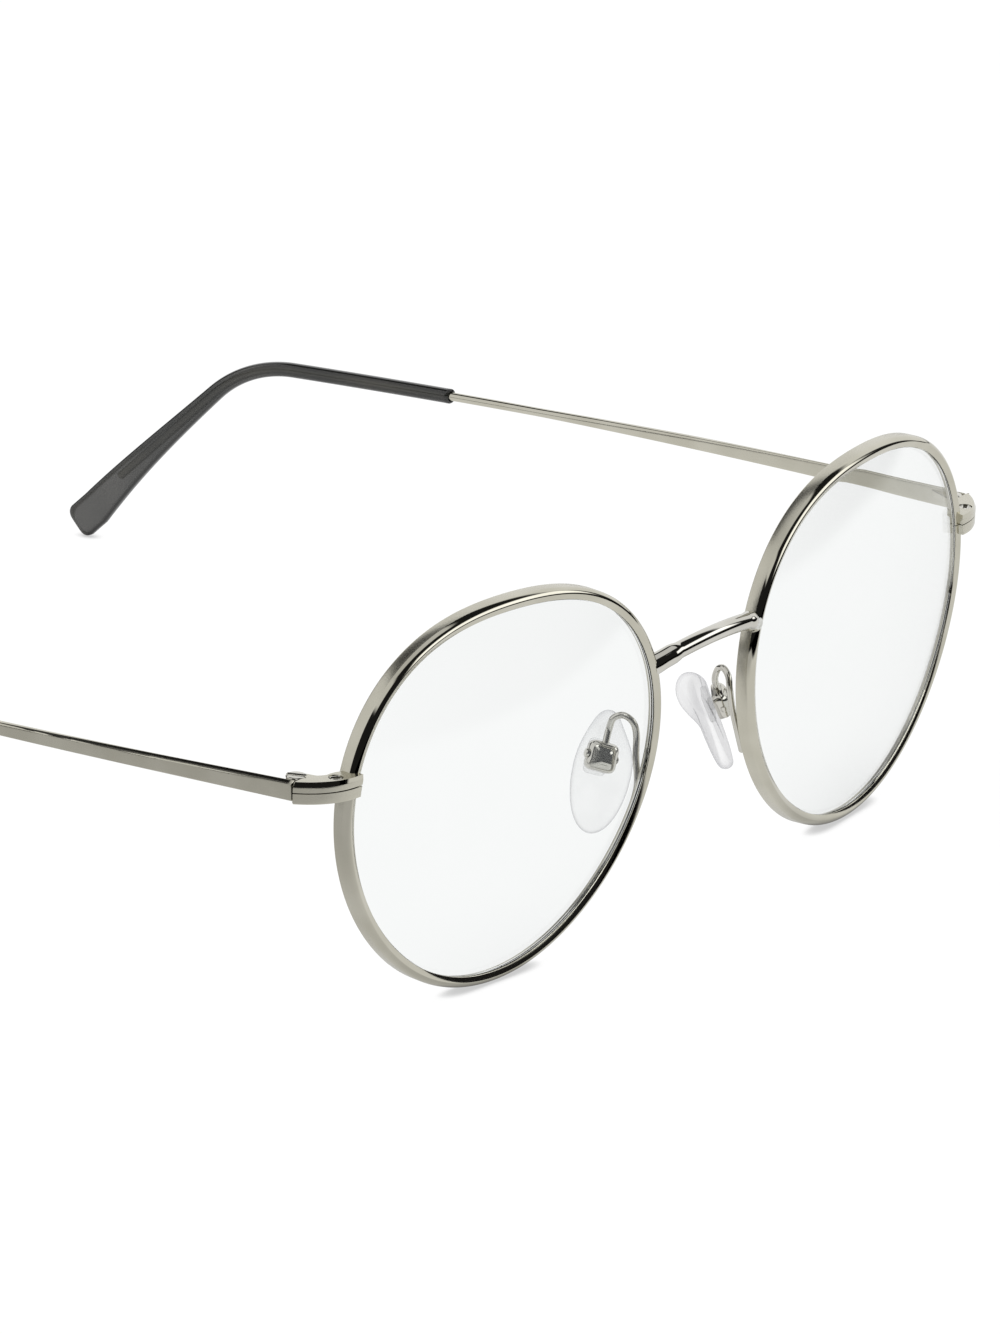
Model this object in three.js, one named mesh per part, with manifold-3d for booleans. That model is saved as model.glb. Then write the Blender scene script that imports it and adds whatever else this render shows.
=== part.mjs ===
// Round metal eyeglasses with a panto outline: two grooved rims joined by an arched bridge, split
// end pieces that close the rims on the lenses, three-knuckle hinges, blade temples that run out to
// wire inside sleeved tips, and clear nose pads that rock in small boxes on looped arms.
// Millimetres, +Z up. The front faces -Y, the temples run towards +Y, the wearer's left is +X.

import * as THREE from 'three';
import { mergeVertices } from 'three/addons/utils/BufferGeometryUtils.js';
import Module from 'manifold-3d';

const wasm = await Module();
wasm.setup();
const radians = THREE.MathUtils.degToRad;

// Clearances
const solderGap = 0.06;       // between pieces that are soldered or glued together
const screwClear = 0.08;      // round a screw's shank
const knuckleGap = 0.1;       // between hinge knuckles, along the pin
const barrelClear = 0.15;     // round a hinge knuckle
const lensClear = 0.1;        // between a lens and its groove or lip
const splitGap = 0.1;         // between the two halves of an end piece, and across the rim there

// Lenses
const lensWidth = 51.8;
const lensHeight = 46;
const lensGap = 19.1;         // between the two lenses, at the nose
const cornerRise = 0.8;       // how far the upper corners stand out from an even oval
const outlineLean = -0.11;    // third-order lean of the outline towards the nose
const outlineSquare = -0.1;   // fourth-order squareness of the outline
const lensThickness = 1.4;
const lensRise = 2.6;         // how far the lens bulges forward from its edge
const wrapAngle = radians(6.3);

// Rims
const rimWall = 0.62;         // from the lens edge out to the rim's outer wall
const rimLip = 0.53;          // from the lens edge in to the rim's inner edge
const rimDepth = 2.2;
const rimBevelWidth = 0.6;
const rimBevelDepth = 0.85;
const rimCrest = 0.35;        // how far the rim's inner edge lies behind the crest of its front
const grooveWidth = 1.1;

// Bridge
const bridgeDiameter = 1.85;
const bridgeHeight = 8.05;    // of the wire's ends over the lens centres
const bridgeSetback = 0.45;   // of the wire's ends behind the rim fronts
const kneeInset = 2.85;       // from each end of the wire to its bend
const kneeRise = 1.35;
const kneeForward = 0.65;
const archRise = 0.6;         // of the middle of the wire over the bends
const archForward = 0.45;

// End pieces and hinges
const endpieceHeight = 2.64;
const endpieceLevel = 6.4;    // of the split between the halves, over the lens centres
const endpieceReach = 4.35;   // from the rim's outer wall out to the hinge axis
const endpieceWidth = 2.1;    // from the hinge axis out to the end piece's outer side
const endpieceFront = 0.7;    // how far the end piece stands in front of the rim
const endpieceWaist = 1.45;   // from the hinge axis in to the narrow place behind the knuckle
const hingeSetback = 4.6;     // of the hinge axis behind the rim's front
const knuckleRadius = 1.2;
const knuckleHeight = 0.9;    // of the middle knuckle, on the temple
const leafLength = 4.6;
const screwRadius = 0.5;
const screwHeadRadius = 0.92;
const screwHeadHeight = 0.28;
const screwSlotWidth = 0.3;
const screwSlotDepth = 0.18;
const lockScrewReach = 1.85;  // of the closing screw from the rim's outer wall

// Temples and tips
const templeLength = 145;     // along the temple, from the hinge axis to the end of the tip
const templeSplay = radians(3.3);
const templeSlope = radians(3.8);
const templeBowRadius = 525;
const bladeHeight = 2.5;
const bladeThickness = 0.85;
const bladeChamfer = 0.12;
const bladeTaperStart = 12;
const bladeTaperEnd = 65;
const wireDiameter = 1.1;
const coreStop = 10;          // from the end of the core to the end of the tip
const bendStart = 102.3;
const bendRadius = 17.5;
const bendAngle = radians(42.5);
const tipStart = 78.5;
const tipStartHeight = 1.9;
const tipEndHeight = 4.7;
const tipThickness = 1.75;
const tipEndThickness = 1.55;
const tipFlareEnd = 141;      // along the temple, where the tip has its full height
const tipFlarePower = 2.2;    // how late the tip widens
const tipDrop = 1.1;          // of the tip's middle below its core, at the end
const tipCorner = 1.1;        // rounding of the tip's end

// Nose pads, their boxes and arms
const padInset = 1.65;        // of the pad centres outwards of the lens edges at the nose
const padSetback = 4.6;
const padDrop = 6.2;
const padSplay = radians(40.4);
const padLean = radians(17.4);
const padTilt = radians(22.1);
const padWidth = 7;
const padHeight = 14.6;
const padThickness = 1.9;
const pivotSide = 0.45;       // of the pad screw from the pad's centre line
const pivotRise = 1.5;        // of the pad screw over the pad's centre
const pivotSetback = 2.35;    // of the pad screw behind the pad's middle
const boxWidth = 2.8;
const boxHeight = 2.9;
const boxDepth = 2.1;
const tangWidth = 0.8;
const tangHeight = 1.5;
const tangClear = 0.12;
const insertWidth = 2.6;
const insertHeight = 4.2;
const insertThickness = 0.7;
const padScrewRadius = 0.34;
const padScrewHeadRadius = 0.55;
const padScrewHead = 0.3;
const armDiameter = 0.8;
const armRootLevel = -7.5;    // of the arm's soldered end, over the lens centres
const armRiseLevel = -3.4;    // where the arm leaves the rim
const armLoopTop = 1.05;
const armLoopReach = 1.22;    // of the loop's top towards the nose
const armLoopSetback = 0.25;  // of the loop's top behind the middle of its legs
const armLoopRadius = 1.5;

// Finishes
const nickel = () => new THREE.MeshStandardMaterial({ color: 0xa5a297, roughness: 0.32, metalness: 1 });
const steel = () => new THREE.MeshStandardMaterial({ color: 0xc9c9c4, roughness: 0.18, metalness: 1 });
const clearLens = () => new THREE.MeshStandardMaterial({
  color: 0xf1f5f4, roughness: 0.03, metalness: 0, transparent: true, opacity: 0.15,
});
const clearSilicone = () => new THREE.MeshStandardMaterial({
  color: 0xf2f4f4, roughness: 0.2, metalness: 0, transparent: true, opacity: 0.35,
});
const smokedAcetate = () => new THREE.MeshStandardMaterial({
  color: 0x4b4c4a, roughness: 0.22, metalness: 0,
});

// Turn a closed geometry's triangles round if its signed volume is negative
function facingOut(geometry) {
  const points = geometry.attributes.position;
  const index = geometry.index.array;
  const a = new THREE.Vector3();
  const b = new THREE.Vector3();
  const c = new THREE.Vector3();
  let volume = 0;
  for (let i = 0; i < index.length; i += 3) {
    a.fromBufferAttribute(points, index[i]);
    b.fromBufferAttribute(points, index[i + 1]);
    c.fromBufferAttribute(points, index[i + 2]);
    volume += a.dot(b.cross(c));
  }
  if (volume < 0) {
    for (let i = 0; i < index.length; i += 3) {
      const second = index[i + 1];
      index[i + 1] = index[i + 2];
      index[i + 2] = second;
    }
  }
  return geometry;
}

// Closed skin over rings of points that all have the same count. A looped run joins its last ring
// to its first; any other run gets a flat fan at each end.
function skin(rings, looped = false) {
  const count = rings[0].length;
  const spans = looped ? rings.length : rings.length - 1;
  const index = [];
  for (let i = 0; i < spans; i += 1) {
    const near = i * count;
    const far = ((i + 1) % rings.length) * count;
    for (let j = 0; j < count; j += 1) {
      const next = (j + 1) % count;
      index.push(near + j, near + next, far + next, near + j, far + next, far + j);
    }
  }
  const end = (rings.length - 1) * count;
  for (let j = 1; !looped && j < count - 1; j += 1) {
    index.push(0, j + 1, j, end, end + j, end + j + 1);
  }
  const geometry = new THREE.BufferGeometry();
  const positions = rings.flat().flatMap((point) => point.toArray());
  geometry.setAttribute('position', new THREE.Float32BufferAttribute(positions, 3));
  geometry.setIndex(index);
  return facingOut(geometry);
}

// Solid for cutting and joining, from a closed geometry
function solid(geometry) {
  const plain = geometry.clone();
  plain.deleteAttribute('normal');
  plain.deleteAttribute('uv');
  const merged = facingOut(mergeVertices(plain));
  return new wasm.Manifold(new wasm.Mesh({
    numProp: 3,
    vertProperties: new Float32Array(merged.attributes.position.array),
    triVerts: new Uint32Array(merged.index.array),
  }));
}

// Geometry of a solid after cutting and joining
function shell(body) {
  const mesh = body.getMesh();
  const geometry = new THREE.BufferGeometry();
  geometry.setAttribute('position', new THREE.BufferAttribute(new Float32Array(mesh.vertProperties), 3));
  geometry.setIndex(new THREE.BufferAttribute(new Uint32Array(mesh.triVerts), 1));
  return geometry;
}

// Upright round bar between two heights
function upright(radius, x, y, low, high, sides = 16) {
  const bar = new THREE.CylinderGeometry(radius, radius, high - low, sides);
  bar.rotateX(Math.PI / 2);
  return bar.translate(x, y, (low + high) / 2);
}

// Block from its corner sizes and its centre
function block(width, depth, height, x, y, z) {
  return new THREE.BoxGeometry(width, depth, height).translate(x, y, z);
}

// Plan outline stretched between two heights
function slab(plan, low, high) {
  const settings = { depth: high - low, bevelEnabled: false, curveSegments: 8 };
  return new THREE.ExtrudeGeometry(plan, settings).translate(0, 0, low);
}

// Round wire along a curve
function wire(curve, diameter, steps, sides) {
  const section = new THREE.Shape().absarc(0, 0, diameter / 2, 0, 2 * Math.PI);
  const settings = { steps, extrudePath: curve, bevelEnabled: false, curveSegments: sides };
  return new THREE.ExtrudeGeometry(section, settings);
}

const front = new THREE.Group();

function addPiece(name, geometry, material) {
  geometry.computeVertexNormals();
  const mesh = new THREE.Mesh(geometry, material);
  mesh.name = name;
  front.add(mesh);
  return mesh;
}

// The wearer's left piece, and its mirror image on the right
function addPair(name, geometry, finish) {
  const plain = mergeVertices(geometry.clone().deleteAttribute('normal').deleteAttribute('uv'));
  const mirrored = facingOut(plain.clone().scale(-1, 1, 1));
  addPiece(`right_${name}`, mirrored, finish());
  return addPiece(`left_${name}`, plain, finish());
}

// Lens outline: an even oval raised at the upper corners, by its angle from the temple side
function outlineRadius(angle) {
  const oval = (lensWidth + lensHeight) / 4 + (lensWidth - lensHeight) / 4 * Math.cos(2 * angle);
  const corners = cornerRise * Math.sin(3 * angle) + outlineLean * Math.cos(3 * angle);
  return oval + corners + outlineSquare * Math.cos(4 * angle);
}

const lensCentreX = lensGap / 2 + lensWidth / 2 * Math.cos(wrapAngle);

// Point at a lens radius and angle in the wrapped lens plane, set back from the rim's front
function lensPlanePoint(radius, angle, back) {
  const across = radius * Math.cos(angle);
  return new THREE.Vector3(
    lensCentreX + across * Math.cos(wrapAngle) - back * Math.sin(wrapAngle),
    across * Math.sin(wrapAngle) + back * Math.cos(wrapAngle),
    radius * Math.sin(angle),
  );
}

// Point beside the lens edge, so far outwards of it and so far behind the rim's front
function edgePoint(angle, outward, back) {
  return lensPlanePoint(outlineRadius(angle) + outward, angle, back);
}

// Outline angle at a level over the lens centre, on the temple side or on the nose side
function outlineAngle(level, noseSide) {
  let angle = noseSide ? Math.PI : 0;
  for (let i = 0; i < 8; i += 1) {
    const rise = Math.asin(level / outlineRadius(angle));
    angle = noseSide ? Math.PI - rise : rise;
  }
  return angle;
}

// Loop of points round the lens outline, from a rule that places each by its angle
const outlineSteps = 48;
const outlineLoop = (place) => (
  Array.from({ length: outlineSteps }, (_, i) => place(2 * Math.PI * i / outlineSteps))
);

// Ring of one section carried round the lens outline; the section lists outward and back pairs
function outlineRing(section) {
  const sectionAt = (angle) => section.map(([outward, back]) => edgePoint(angle, outward, back));
  return skin(outlineLoop(sectionAt), true);
}

// Rims: bevelled to both sides of a crest in front, grooved for the lens, slit at the end piece
const grooveBack = rimDepth / 2;
const rimSection = [
  [-rimLip, rimCrest],
  [rimWall - rimBevelWidth, 0],
  [rimWall, rimBevelDepth],
  [rimWall, rimDepth],
  [-rimLip, rimDepth],
  [-rimLip, grooveBack + grooveWidth / 2],
  [lensClear, grooveBack],
  [-rimLip, grooveBack - grooveWidth / 2],
];
const templeSideAngle = outlineAngle(endpieceLevel, false);
const rimSide = edgePoint(templeSideAngle, rimWall, rimDepth / 2);
const rimFrontY = edgePoint(templeSideAngle, rimWall, 0).y;
const slit = block(4 * rimDepth, 4 * rimDepth, splitGap, rimSide.x, rimSide.y, endpieceLevel);
const rimBody = solid(outlineRing(rimSection)).subtract(solid(slit));
const leftRim = addPair('rim', shell(rimBody), nickel);

// Lenses: a shallow dome of even thickness, with a V edge that sits in the groove
const edgeHeight = rimLip + lensClear;
const edgeHalf = grooveWidth / 2;
const lensFront = grooveBack - lensThickness / 2;
const lensRear = grooveBack + lensThickness / 2;
const domeShares = [0.3, 0.62, 0.85, 1];
const edgeLoop = (outward, back) => outlineLoop((angle) => edgePoint(angle, outward, back));
const domeLoop = (share, back) => outlineLoop((angle) => lensPlanePoint(
  share * (outlineRadius(angle) - edgeHeight), angle, back - lensRise * (1 - share * share),
));
const lensRings = [
  ...domeShares.map((share) => domeLoop(share, lensFront)),
  edgeLoop(-edgeHeight, grooveBack - edgeHalf),
  edgeLoop(0, grooveBack),
  edgeLoop(-edgeHeight, grooveBack + edgeHalf),
  ...domeShares.toReversed().map((share) => domeLoop(share, lensRear)),
];
addPair('lens', skin(lensRings), clearLens);

// Bridge: a round wire with a bend above each end, cut off where it meets the rims
const noseSideAngle = outlineAngle(bridgeHeight, true);
const bridgeEnd = edgePoint(noseSideAngle, 0, bridgeSetback);
const knee = new THREE.Vector3(bridgeEnd.x - kneeInset, bridgeEnd.y - kneeForward, bridgeHeight + kneeRise);
const archTop = new THREE.Vector3(0, knee.y - archForward, knee.z + archRise);
const opposite = (point) => new THREE.Vector3(-point.x, point.y, point.z);
const bridgeCurve = new THREE.CatmullRomCurve3([
  opposite(bridgeEnd),
  opposite(knee),
  archTop,
  knee,
  bridgeEnd,
]);
const rimSpaceRing = outlineRing([
  [-2 * rimLip, -rimDepth],
  [rimWall - rimBevelWidth, -rimDepth],
  [rimWall - rimBevelWidth, -solderGap],
  [rimWall + solderGap, rimBevelDepth - solderGap],
  [rimWall + solderGap, rimDepth + solderGap],
  [-2 * rimLip, rimDepth + solderGap],
]);
const rimSpace = solid(rimSpaceRing);
const otherRimSpace = solid(facingOut(rimSpaceRing.clone().scale(-1, 1, 1)));
const bridgeBody = solid(wire(bridgeCurve, bridgeDiameter, 24, 6))
  .subtract(rimSpace)
  .subtract(otherRimSpace);
addPiece('bridge', shell(bridgeBody), steel());

// Slotted screw with its head on a level and its shank going down to another
function slottedScrew(x, y, headLevel, footLevel) {
  const head = upright(screwHeadRadius, x, y, headLevel + solderGap, headLevel + screwHeadHeight, 20);
  const shank = upright(screwRadius, x, y, footLevel, headLevel + screwHeadHeight / 2, 12);
  const slotLevel = headLevel + screwHeadHeight - screwSlotDepth / 2;
  const slot = block(4 * screwHeadRadius, screwSlotWidth, screwSlotDepth, x, y, slotLevel);
  return shell(solid(head).add(solid(shank)).subtract(solid(slot)));
}

// End pieces: one plan for both halves, from the rim round to the outer hinge knuckles
const hingeX = rimSide.x + endpieceReach;
const hingeY = rimFrontY + hingeSetback;
const outerX = hingeX + endpieceWidth;
const endFaceY = hingeY - knuckleRadius + barrelClear;
const frontY = rimFrontY - endpieceFront;
const seamAngle = Math.asin((endFaceY - hingeY) / knuckleRadius);
const waistX = hingeX - endpieceWaist;
const waistY = hingeY - knuckleRadius - barrelClear;
const rootY = edgePoint(templeSideAngle, rimWall, rimDepth).y - rimBevelDepth;
const endpiecePlan = new THREE.Shape();
endpiecePlan.moveTo(rimSide.x - rimBevelWidth, frontY);
endpiecePlan.quadraticCurveTo(hingeX - screwRadius, frontY, outerX, endFaceY);
endpiecePlan.lineTo(hingeX + knuckleRadius * Math.cos(seamAngle), endFaceY);
endpiecePlan.absarc(hingeX, hingeY, knuckleRadius, seamAngle, Math.PI + radians(15));
endpiecePlan.quadraticCurveTo(waistX, waistY, rimSide.x + lockScrewReach, rootY + rimBevelDepth);
endpiecePlan.quadraticCurveTo(rimSide.x + rimWall, rootY + rimBevelDepth, rimSide.x - rimBevelWidth, rootY);
endpiecePlan.closePath();

const endpieceTop = endpieceLevel + endpieceHeight / 2;
const endpieceFoot = endpieceLevel - endpieceHeight / 2;
const lockX = rimSide.x + lockScrewReach;
const lockY = (frontY + rootY + rimBevelDepth) / 2;
const boreRadius = screwRadius + screwClear;
const reliefHalf = knuckleHeight / 2 + knuckleGap;
const boreLow = endpieceFoot - endpieceHeight;
const boreHigh = endpieceTop + endpieceHeight;
const hingeBore = solid(upright(boreRadius, hingeX, hingeY, boreLow, boreHigh, 12));
const lockBore = solid(upright(boreRadius, lockX, lockY, boreLow, boreHigh, 12));
const sunkLevel = endpieceTop - screwHeadHeight;
const lockSink = solid(upright(screwHeadRadius + screwClear, lockX, lockY, sunkLevel, boreHigh, 20));
const relief = solid(upright(
  knuckleRadius + barrelClear, hingeX, hingeY, endpieceLevel - reliefHalf, endpieceLevel + reliefHalf, 24,
));

function endpieceHalf(low, high) {
  const cuts = [rimSpace, hingeBore, lockBore, lockSink, relief];
  const body = solid(slab(endpiecePlan, low, high));
  return shell(cuts.reduce((rest, cut) => rest.subtract(cut), body));
}
addPair('endpiece_upper', endpieceHalf(endpieceLevel + splitGap / 2, endpieceTop), nickel);
addPair('endpiece_lower', endpieceHalf(endpieceFoot, endpieceLevel - splitGap / 2), nickel);
addPair('rim_lock_screw', slottedScrew(lockX, lockY, sunkLevel, endpieceFoot), steel);
addPair('hinge_screw', slottedScrew(hingeX, hingeY, endpieceTop, endpieceFoot), steel);

// Temple line: straight down a slope, round the ear bend and on to the tip, bowed in plan
const bladeX = hingeX + knuckleRadius + barrelClear + bladeThickness / 2;
const bendLength = bendRadius * bendAngle;

function templePlace(length) {
  const turned = THREE.MathUtils.clamp((length - bendStart) / bendRadius, 0, bendAngle);
  const before = Math.min(length, bendStart);
  const after = Math.max(length - bendStart - bendLength, 0);
  const along = before + bendRadius * Math.sin(turned) + after * Math.cos(bendAngle);
  const drop = bendRadius * (1 - Math.cos(turned)) + after * Math.sin(bendAngle);
  const run = along * Math.cos(templeSlope) - drop * Math.sin(templeSlope);
  const fall = along * Math.sin(templeSlope) + drop * Math.cos(templeSlope);
  const bow = run > bladeTaperStart ? (run - bladeTaperStart) ** 2 / (2 * templeBowRadius) : 0;
  const down = templeSlope + turned;
  return {
    centre: new THREE.Vector3(
      bladeX + run * Math.tan(templeSplay) - bow, hingeY + run, endpieceLevel - fall,
    ),
    rise: new THREE.Vector3(0, Math.sin(down), Math.cos(down)),
    side: new THREE.Vector3(Math.cos(templeSplay), -Math.sin(templeSplay), 0),
  };
}

// Chamfered rectangle across the temple line, so high and so thick, lowered from the line
function templeSection(length, height, thickness, chamfer, lowered = 0) {
  const { centre, rise, side } = templePlace(length);
  const high = height / 2;
  const half = thickness / 2;
  const corners = [
    [half, high - chamfer],
    [half - chamfer, high],
    [chamfer - half, high],
    [-half, high - chamfer],
    [-half, chamfer - high],
    [chamfer - half, -high],
    [half - chamfer, -high],
    [half, chamfer - high],
  ];
  return corners.map(([across, up]) => centre.clone()
    .addScaledVector(side, across)
    .addScaledVector(rise, up - lowered));
}

// Lengths from one place to another, evenly spaced
const evenly = (from, to, count) => (
  Array.from({ length: count + 1 }, (_, i) => THREE.MathUtils.lerp(from, to, i / count))
);

// Temples: a flat blade at the hinge that tapers to the round wire inside the tip
const octagonChamfer = (size) => size * (1 - Math.SQRT1_2);
const bladeStart = endFaceY + barrelClear - hingeY;
const coreEnd = templeLength - coreStop;
const templeLengths = [
  bladeStart,
  ...evenly(bladeTaperStart, bladeTaperEnd, 8),
  ...evenly(bladeTaperEnd, bendStart, 8).slice(1),
  ...evenly(bendStart, bendStart + bendLength, 6).slice(1),
  coreEnd,
];
const templeRings = templeLengths.map((length) => {
  const tapered = THREE.MathUtils.smoothstep(length, bladeTaperStart, bladeTaperEnd);
  const narrowed = THREE.MathUtils.clamp(length / bladeTaperEnd, 0, 1);
  const height = THREE.MathUtils.lerp(bladeHeight, wireDiameter, narrowed);
  const thickness = THREE.MathUtils.lerp(bladeThickness, wireDiameter, tapered);
  const chamfer = THREE.MathUtils.lerp(bladeChamfer, octagonChamfer(wireDiameter), tapered);
  return templeSection(length, height, thickness, chamfer);
});
addPair('temple', skin(templeRings), nickel);

// Hinge leaf: the middle knuckle with a tongue along the inside of the blade
const leafEndY = hingeY + leafLength;
const bladeInside = (y) => bladeX - bladeThickness / 2 + (y - hingeY) * Math.tan(templeSplay) - solderGap;
const leafPlan = new THREE.Shape();
leafPlan.moveTo(bladeInside(leafEndY), leafEndY);
leafPlan.lineTo(bladeInside(leafEndY) - knuckleHeight, leafEndY);
leafPlan.lineTo(hingeX, hingeY + knuckleRadius);
leafPlan.absarc(hingeX, hingeY, knuckleRadius, Math.PI / 2, 2 * Math.PI);
leafPlan.lineTo(bladeInside(hingeY + knuckleRadius), hingeY + knuckleRadius);
leafPlan.closePath();
const leafLow = endpieceLevel - knuckleHeight / 2;
const leafBody = solid(slab(leafPlan, leafLow, leafLow + knuckleHeight)).subtract(hingeBore);
addPair('temple_hinge_leaf', shell(leafBody), nickel);

// Tips: a sleeve that flattens downwards into a paddle, bored for the temple's core
const tipLengths = [
  ...evenly(tipStart, bendStart, 4),
  ...evenly(bendStart, bendStart + bendLength, 6).slice(1),
  ...evenly(bendStart + bendLength, templeLength - tipCorner, 6).slice(1),
  templeLength,
];
const tipRings = tipLengths.map((length) => {
  const widened = (length - bendStart) / (tipFlareEnd - bendStart);
  const flare = THREE.MathUtils.clamp(widened, 0, 1) ** tipFlarePower;
  const ended = length > templeLength - tipCorner ? tipCorner : 0;
  const height = THREE.MathUtils.lerp(tipStartHeight, tipEndHeight, flare) - ended;
  const thickness = THREE.MathUtils.lerp(tipThickness, tipEndThickness, flare) - ended / 2;
  return templeSection(length, height, thickness, octagonChamfer(thickness), tipDrop * flare ** 2);
});
const boreEnd = coreEnd + solderGap;
const boreSize = wireDiameter + 2 * screwClear;
const boreLengths = [
  tipStart - tipThickness,
  ...evenly(tipStart, bendStart, 4),
  ...evenly(bendStart, bendStart + bendLength, 6).slice(1),
  boreEnd,
];
const boreRings = boreLengths.map((length) => (
  templeSection(length, boreSize, boreSize, octagonChamfer(boreSize))
));
const tipBody = solid(skin(tipRings)).subtract(solid(skin(boreRings)));
const leftTip = addPair('temple_tip', shell(tipBody), smokedAcetate);

// Nose pad frame: X across the pad, Y out of its nose side, Z up the pad
const padFrame = new THREE.Matrix4()
  .makeRotationFromEuler(new THREE.Euler(-padTilt, -padLean, padSplay, 'ZYX'))
  .setPosition(lensGap / 2 + padInset, padSetback, -padDrop);
const onPad = (geometry) => geometry.applyMatrix4(padFrame);

// Nose pads: an oval cushion, crowned on the nose side, with a pocket behind for its insert
const padSteps = 24;
const padProfile = [
  [0.5, -0.5],
  [0.9, -0.4],
  [1, -0.1],
  [0.93, 0.2],
  [0.6, 0.5],
];
const padRings = padProfile.map(([share, level]) => {
  const ring = [];
  for (let i = 0; i < padSteps; i += 1) {
    const angle = 2 * Math.PI * i / padSteps;
    const wide = padWidth / 2 * share * Math.cos(angle);
    const high = (padHeight / 2 - padWidth / 2 * (1 - share)) * Math.sin(angle);
    ring.push(new THREE.Vector3(wide, level * padThickness, high));
  }
  return ring;
});
const padBack = -padThickness / 2;
const insertFront = padBack + insertThickness + solderGap;
const pocket = block(
  insertWidth + 2 * solderGap, insertThickness * 2, insertHeight + 2 * solderGap,
  pivotSide, insertFront - insertThickness, pivotRise,
);
addPair('nose_pad', onPad(shell(solid(skin(padRings)).subtract(solid(pocket)))), clearSilicone);

// Rounded tang end and its hole lie on the pad screw, across the pad
function crossBar(radius, from, to, sides) {
  const bar = new THREE.CylinderGeometry(radius, radius, to - from, sides);
  bar.rotateZ(Math.PI / 2);
  return bar.translate((from + to) / 2, -pivotSetback, pivotRise);
}
const padBore = solid(crossBar(padScrewRadius + screwClear, pivotSide - boxWidth, pivotSide + boxWidth, 12));

// Pad inserts: a plate in the pad's pocket with a tang that reaches back into the box
const tangLength = pivotSetback + padBack + insertThickness;
const insertPlate = block(
  insertWidth, insertThickness, insertHeight, pivotSide, padBack + insertThickness / 2, pivotRise,
);
const tangBar = block(
  tangWidth, tangLength, tangHeight, pivotSide, padBack + insertThickness - tangLength / 2, pivotRise,
);
const tangEnd = crossBar(tangHeight / 2, pivotSide - tangWidth / 2, pivotSide + tangWidth / 2, 16);
const insertBody = solid(insertPlate).add(solid(tangBar)).add(solid(tangEnd)).subtract(padBore);
addPair('pad_insert', onPad(shell(insertBody)), clearSilicone);

// Pad boxes: a small housing, open towards the pad, that holds the tang on the screw
const boxCentre = -pivotSetback;
const slotBack = boxCentre - tangHeight / 2 - tangClear;
const slotMouth = boxCentre + boxDepth / 2 + tangClear;
const boxSlot = block(
  tangWidth + 2 * tangClear, slotMouth - slotBack, tangHeight + 4 * tangClear,
  pivotSide, (slotBack + slotMouth) / 2, pivotRise,
);
const boxBody = solid(block(boxWidth, boxDepth, boxHeight, pivotSide, boxCentre, pivotRise))
  .subtract(solid(boxSlot))
  .subtract(padBore);
addPair('pad_box', onPad(shell(boxBody)), steel);

// Pad screws: through both cheeks of the box and the tang
const padHeadSide = pivotSide + boxWidth / 2 + solderGap;
const padShank = crossBar(padScrewRadius, pivotSide - boxWidth / 2, padHeadSide + padScrewHead / 2, 12);
const padHead = crossBar(padScrewHeadRadius, padHeadSide, padHeadSide + padScrewHead, 16);
const padScrewBody = solid(padShank).add(solid(padHead));
addPair('pad_screw', onPad(shell(padScrewBody)), steel);

// Pad arms: soldered up the back of the rim, looped over and down to the top of the box
const armBack = rimDepth + solderGap + armDiameter / 2;
const armMiddle = rimWall - armDiameter / 4;
const armRoot = edgePoint(outlineAngle(armRootLevel, true), armMiddle, armBack);
const armRise = edgePoint(outlineAngle(armRiseLevel, true), armMiddle, armBack);
const boxTop = new THREE.Vector3(pivotSide, boxCentre, pivotRise + boxHeight / 2 + solderGap);
const aboveBox = boxTop.clone().setZ(boxTop.z + armDiameter);
boxTop.applyMatrix4(padFrame);
aboveBox.applyMatrix4(padFrame);
const loopTop = armRise.clone().lerp(boxTop, 0.5).setZ(armLoopTop);
loopTop.x -= armLoopReach;
loopTop.y += armLoopSetback;
const loopFront = loopTop.clone().add(new THREE.Vector3(0, -armLoopRadius, -armLoopRadius));
const loopBack = loopTop.clone().add(new THREE.Vector3(0, armLoopRadius, -armLoopRadius));
const armCurve = new THREE.CatmullRomCurve3(
  [armRoot, armRise, loopFront, loopTop, loopBack, aboveBox, boxTop], false, 'centripetal',
);
addPair('pad_arm', wire(armCurve, armDiameter, 24, 4), steel);

// Level of a mesh's lowest point once the front leans by an angle
function lowestLevel(mesh, lean) {
  const points = mesh.geometry.attributes.position;
  let lowest = Infinity;
  for (let i = 0; i < points.count; i += 1) {
    lowest = Math.min(lowest, points.getY(i) * Math.sin(lean) + points.getZ(i) * Math.cos(lean));
  }
  return lowest;
}

// The eyeglasses stand on the rim bottoms and the tip ends: lean the front until both are level
let leanLow = radians(-15);
let leanHigh = radians(30);
for (let i = 0; i < 40; i += 1) {
  const middle = (leanLow + leanHigh) / 2;
  if (lowestLevel(leftTip, middle) < lowestLevel(leftRim, middle)) {
    leanLow = middle;
  } else {
    leanHigh = middle;
  }
}
front.rotation.x = (leanLow + leanHigh) / 2;

// The origin is under the middle of the whole, on the surface that it stands on
const eyeglasses = new THREE.Group();
eyeglasses.add(front);
const reach = new THREE.Box3().setFromObject(eyeglasses, true);
front.position.set(0, -(reach.min.y + reach.max.y) / 2, -reach.min.z);

export default eyeglasses;
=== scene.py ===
import bpy
import numpy as np
from mathutils import Matrix


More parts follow.
